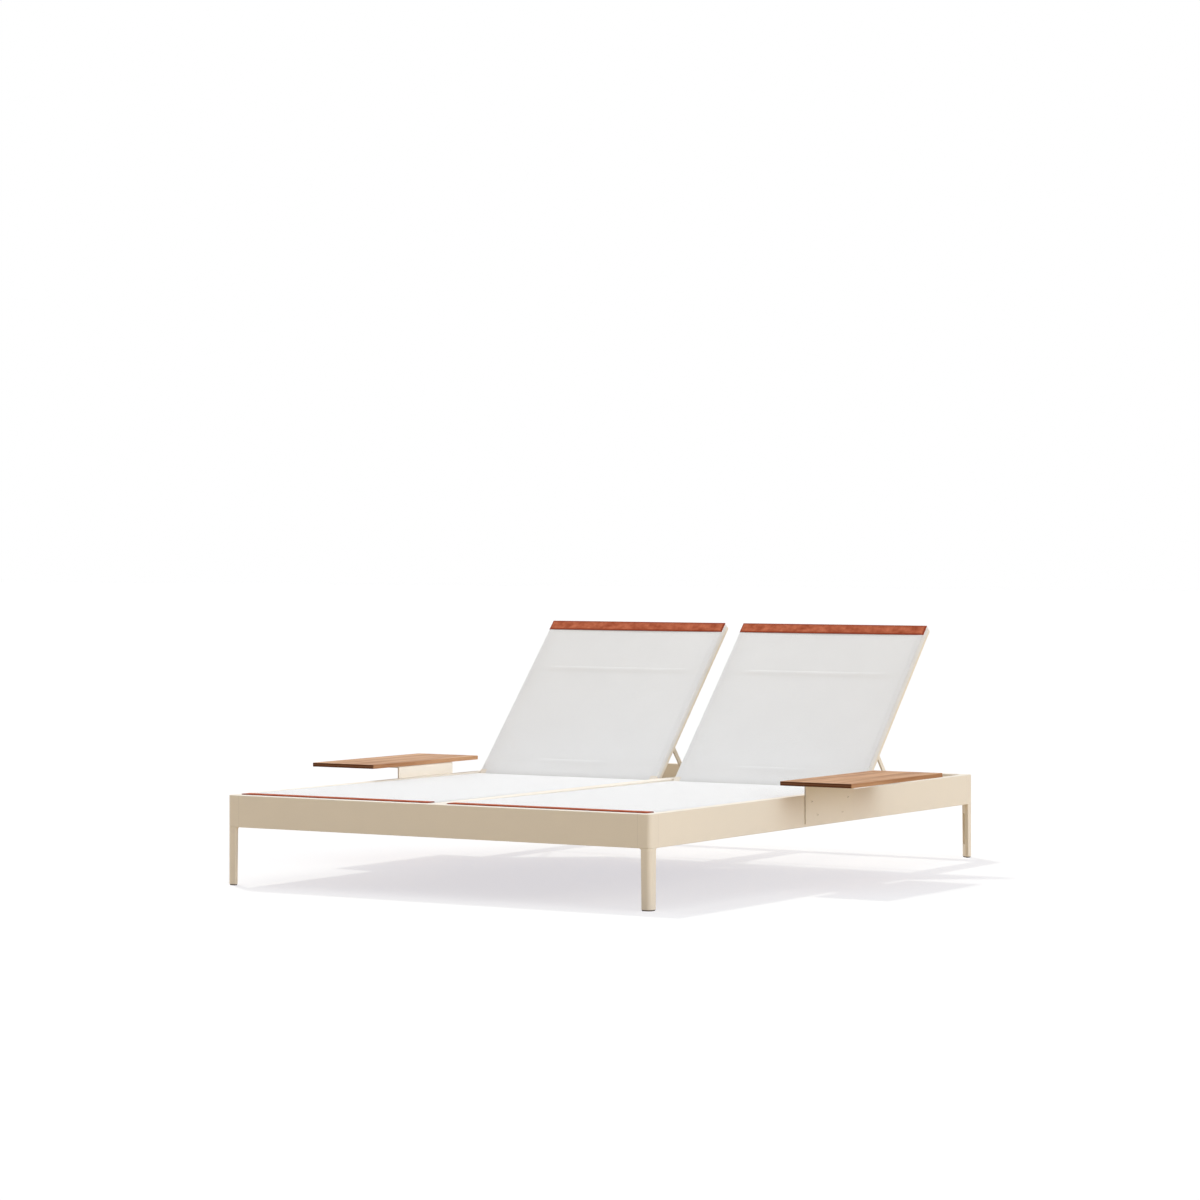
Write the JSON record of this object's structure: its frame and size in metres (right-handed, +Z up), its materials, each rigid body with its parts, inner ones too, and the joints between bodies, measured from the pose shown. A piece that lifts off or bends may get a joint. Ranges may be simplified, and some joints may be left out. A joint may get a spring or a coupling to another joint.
{
  "type": "double chaise lounger",
  "caption": "Low double sun lounger on a cream metal frame with taut mesh beds, hinged backrests on folding props, and a teak side table on each outer rail.",
  "frame": {"origin": "on the floor, under the middle of the lounger", "axes": "+Z up, +Y towards the head end, -Y the foot end, +X to the right when seen from the foot end"},
  "size_m": [1.9128, 2, 0.7464],
  "materials": {
    "frame": "cream powder coat, fine satin grain",
    "sling": "taut white woven mesh",
    "trim": "terracotta leather, stitched edge",
    "teak": "oiled teak",
    "pad": "matt black",
    "steel": "plain stainless steel"
  },
  "bodies": {
    "frame": {"front_rail": "frame", "rear_rail": "frame", "centre_rail": "frame", "foot_pads": "pad", "front_left_leg": "frame", "front_right_leg": "frame", "rear_right_leg": "frame", "rear_left_leg": "frame", "left_side_rail": "frame", "left_seat_side_tubes": "frame", "left_seat_cross_tubes": "frame", "left_seat_sling": "sling", "left_foot_trim": "trim", "left_seat_brackets": "frame", "left_hinge_studs": "steel", "left_prop_racks": "frame", "left_table_plate": "frame", "left_table_board": "teak", "left_table_screws": "frame", "left_board_screws": "steel", "right_side_rail": "frame", "right_seat_side_tubes": "frame", "right_seat_cross_tubes": "frame", "right_seat_sling": "sling", "right_foot_trim": "trim", "right_seat_brackets": "frame", "right_hinge_studs": "steel", "right_prop_racks": "frame", "right_table_plate": "frame", "right_table_board": "teak", "right_table_screws": "frame", "right_board_screws": "steel"},
    "left_backrest": {"left_backrest_side_tubes": "frame", "left_backrest_knuckles": "frame", "left_backrest_cross_tubes": "frame", "left_backrest_sling": "sling", "left_head_trim": "trim", "left_prop_pins": "steel"},
    "left_prop": {"left_prop_arms": "frame", "left_prop_rod": "frame"},
    "right_backrest": {"right_backrest_side_tubes": "frame", "right_backrest_knuckles": "frame", "right_backrest_cross_tubes": "frame", "right_backrest_sling": "sling", "right_head_trim": "trim", "right_prop_pins": "steel"},
    "right_prop": {"right_prop_arms": "frame", "right_prop_rod": "frame"}
  },
  "joints": [
    {"name": "left_backrest_hinge", "type": "hinge", "parent": "frame", "child": "left_backrest", "pos_m": [-0.3646, 0.2973, 0.2475], "axis": [1, 0, 0], "range_deg": [-47.4, 15]},
    {"name": "left_prop_hinge", "type": "hinge", "parent": "left_backrest", "child": "left_prop", "pos_m": [-0.3646, 0.42049, 0.38147], "axis": [1, 0, 0], "range_deg": [-27, 85.32]},
    {"name": "right_backrest_hinge", "type": "hinge", "parent": "frame", "child": "right_backrest", "pos_m": [0.3646, 0.2973, 0.2475], "axis": [1, 0, 0], "range_deg": [-47.4, 15]},
    {"name": "right_prop_hinge", "type": "hinge", "parent": "right_backrest", "child": "right_prop", "pos_m": [0.3646, 0.42049, 0.38147], "axis": [1, 0, 0], "range_deg": [-27, 85.32]}
  ],
  "couplings": [
    {"joint": "left_prop_hinge", "follows": "left_backrest_hinge", "ratio": -1.8},
    {"joint": "right_prop_hinge", "follows": "right_backrest_hinge", "ratio": -1.8}
  ]
}
